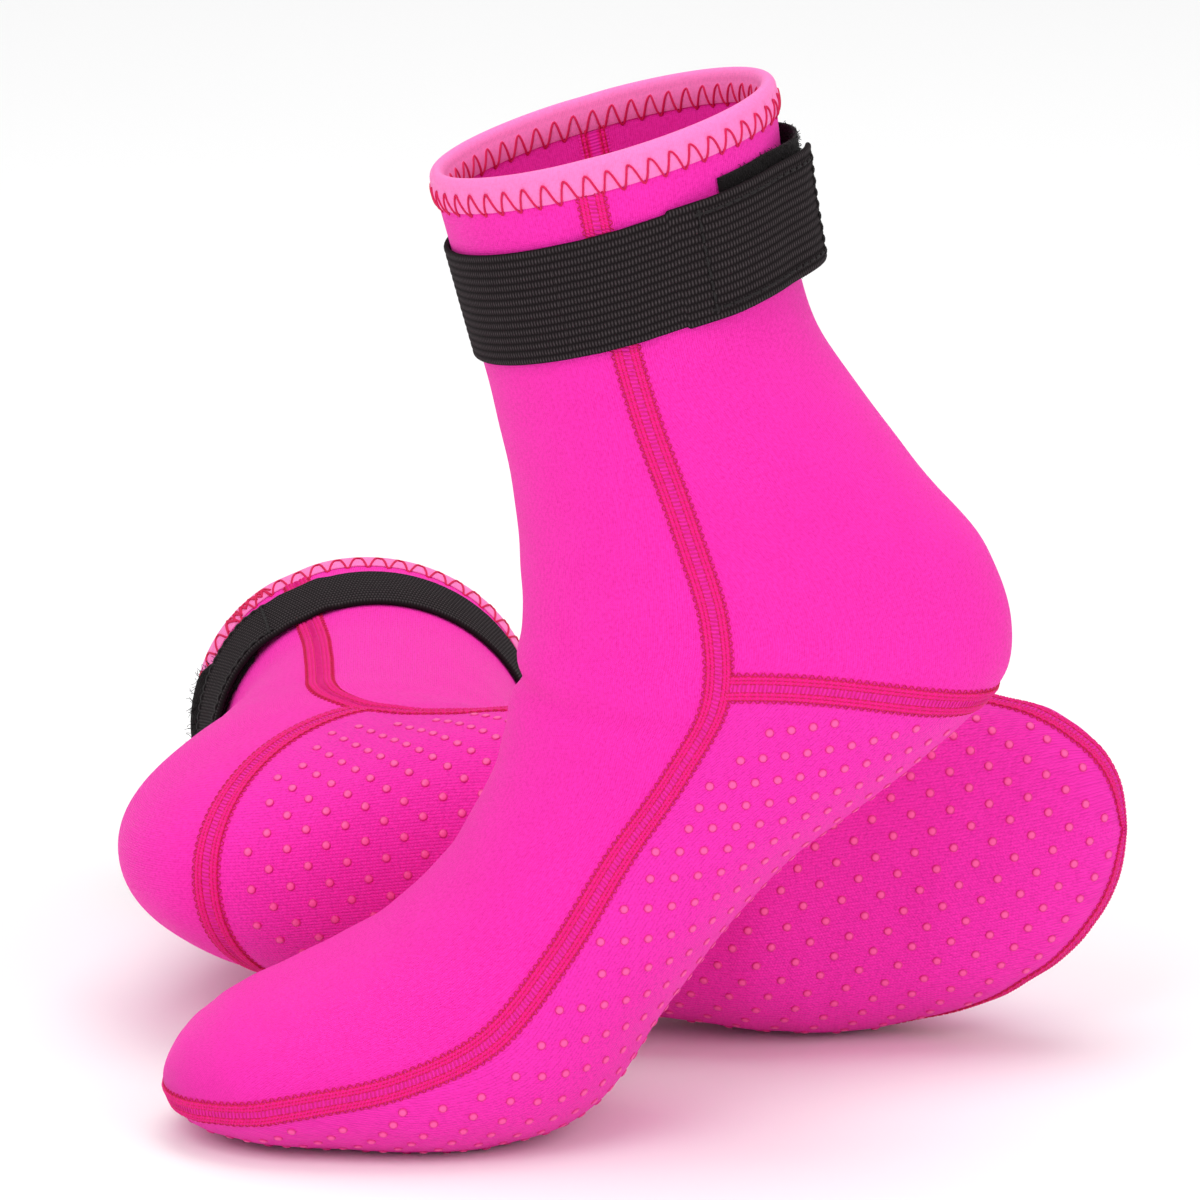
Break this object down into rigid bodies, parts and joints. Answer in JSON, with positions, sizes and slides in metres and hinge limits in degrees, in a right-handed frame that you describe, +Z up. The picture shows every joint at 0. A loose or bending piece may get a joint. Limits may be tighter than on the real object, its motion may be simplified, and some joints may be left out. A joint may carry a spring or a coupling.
{
  "type": "pair of neoprene boots",
  "caption": "Pair of pink neoprene water-sport boots with dotted soles, bound cuffs and black hook-and-loop ankle straps, one standing on tiptoe, one lying on its side.",
  "frame": {"origin": "on the floor below the middle of the pair", "axes": "+Z up, +X from the standing boot's toes to its heel, +Y from the standing boot to the lying one"},
  "size_m": [0.2692, 0.2994, 0.2801],
  "materials": {
    "pink_knit": "matt nylon jersey over neoprene foam",
    "dotted_sole_knit": "matt nylon jersey with printed grip dots",
    "flatlock_thread": "raised flatlock stitching",
    "binding_tape": "soft folded stretch tape",
    "crimson_thread": "spun polyester thread",
    "black_elastic": "ribbed woven elastic",
    "hook_tape": "moulded hooks",
    "loop_tape": "brushed loop pile",
    "black_thread": "spun polyester thread"
  },
  "bodies": {
    "left_boot": {"left_front_panel": "pink_knit", "left_back_panel": "pink_knit", "left_sole_panel": "dotted_sole_knit", "left_inner_side_seam": "flatlock_thread", "left_outer_side_seam": "flatlock_thread", "left_foot_seam": "flatlock_thread", "left_heel_seam": "flatlock_thread", "left_cuff_binding": "binding_tape", "left_cuff_zigzag_stitch": "crimson_thread", "left_ankle_strap": "black_elastic", "left_back_loop_patch": "loop_tape", "left_anchor_box_stitch": "black_thread"},
    "left_strap": {"left_strap_free_length": "black_elastic"},
    "left_tab": {"left_strap_tab": "black_elastic", "left_tab_hook_patch": "hook_tape", "left_tab_box_stitch": "black_thread"},
    "right_boot": {"right_front_panel": "pink_knit", "right_back_panel": "pink_knit", "right_sole_panel": "dotted_sole_knit", "right_inner_side_seam": "flatlock_thread", "right_outer_side_seam": "flatlock_thread", "right_foot_seam": "flatlock_thread", "right_heel_seam": "flatlock_thread", "right_cuff_binding": "binding_tape", "right_cuff_zigzag_stitch": "crimson_thread", "right_ankle_strap": "black_elastic", "right_back_loop_patch": "loop_tape", "right_anchor_box_stitch": "black_thread"},
    "right_strap": {"right_strap_free_length": "black_elastic"},
    "right_tab": {"right_strap_tab": "black_elastic", "right_tab_hook_patch": "hook_tape", "right_tab_box_stitch": "black_thread"}
  },
  "joints": [
    {"name": "right_boot_lift", "type": "slide", "parent": "left_boot", "child": "right_boot", "axis": [0, 0, 1], "range_m": [0, 0.25]},
    {"name": "right_strap_swing", "type": "hinge", "parent": "right_boot", "child": "right_strap", "pos_m": [-0.03802, -0.1198, 0.22257], "axis": [0.2547, 0.0159, -0.9669], "range_deg": [0, 70]},
    {"name": "right_tab_peel", "type": "hinge", "parent": "right_strap", "child": "right_tab", "pos_m": [0.01226, -0.14075, 0.23751], "axis": [0.1956, 0.0212, -0.9805], "range_deg": [0, 80]},
    {"name": "left_strap_swing", "type": "hinge", "parent": "left_boot", "child": "left_strap", "pos_m": [-0.03259, 0.11487, 0.07101], "axis": [-0.047, 0.9989, 0.0045], "range_deg": [0, 70]},
    {"name": "left_tab_peel", "type": "hinge", "parent": "left_strap", "child": "left_tab", "pos_m": [-0.08957, 0.11451, 0.08233], "axis": [-0.1105, 0.9938, 0.0084], "range_deg": [0, 80]}
  ]
}
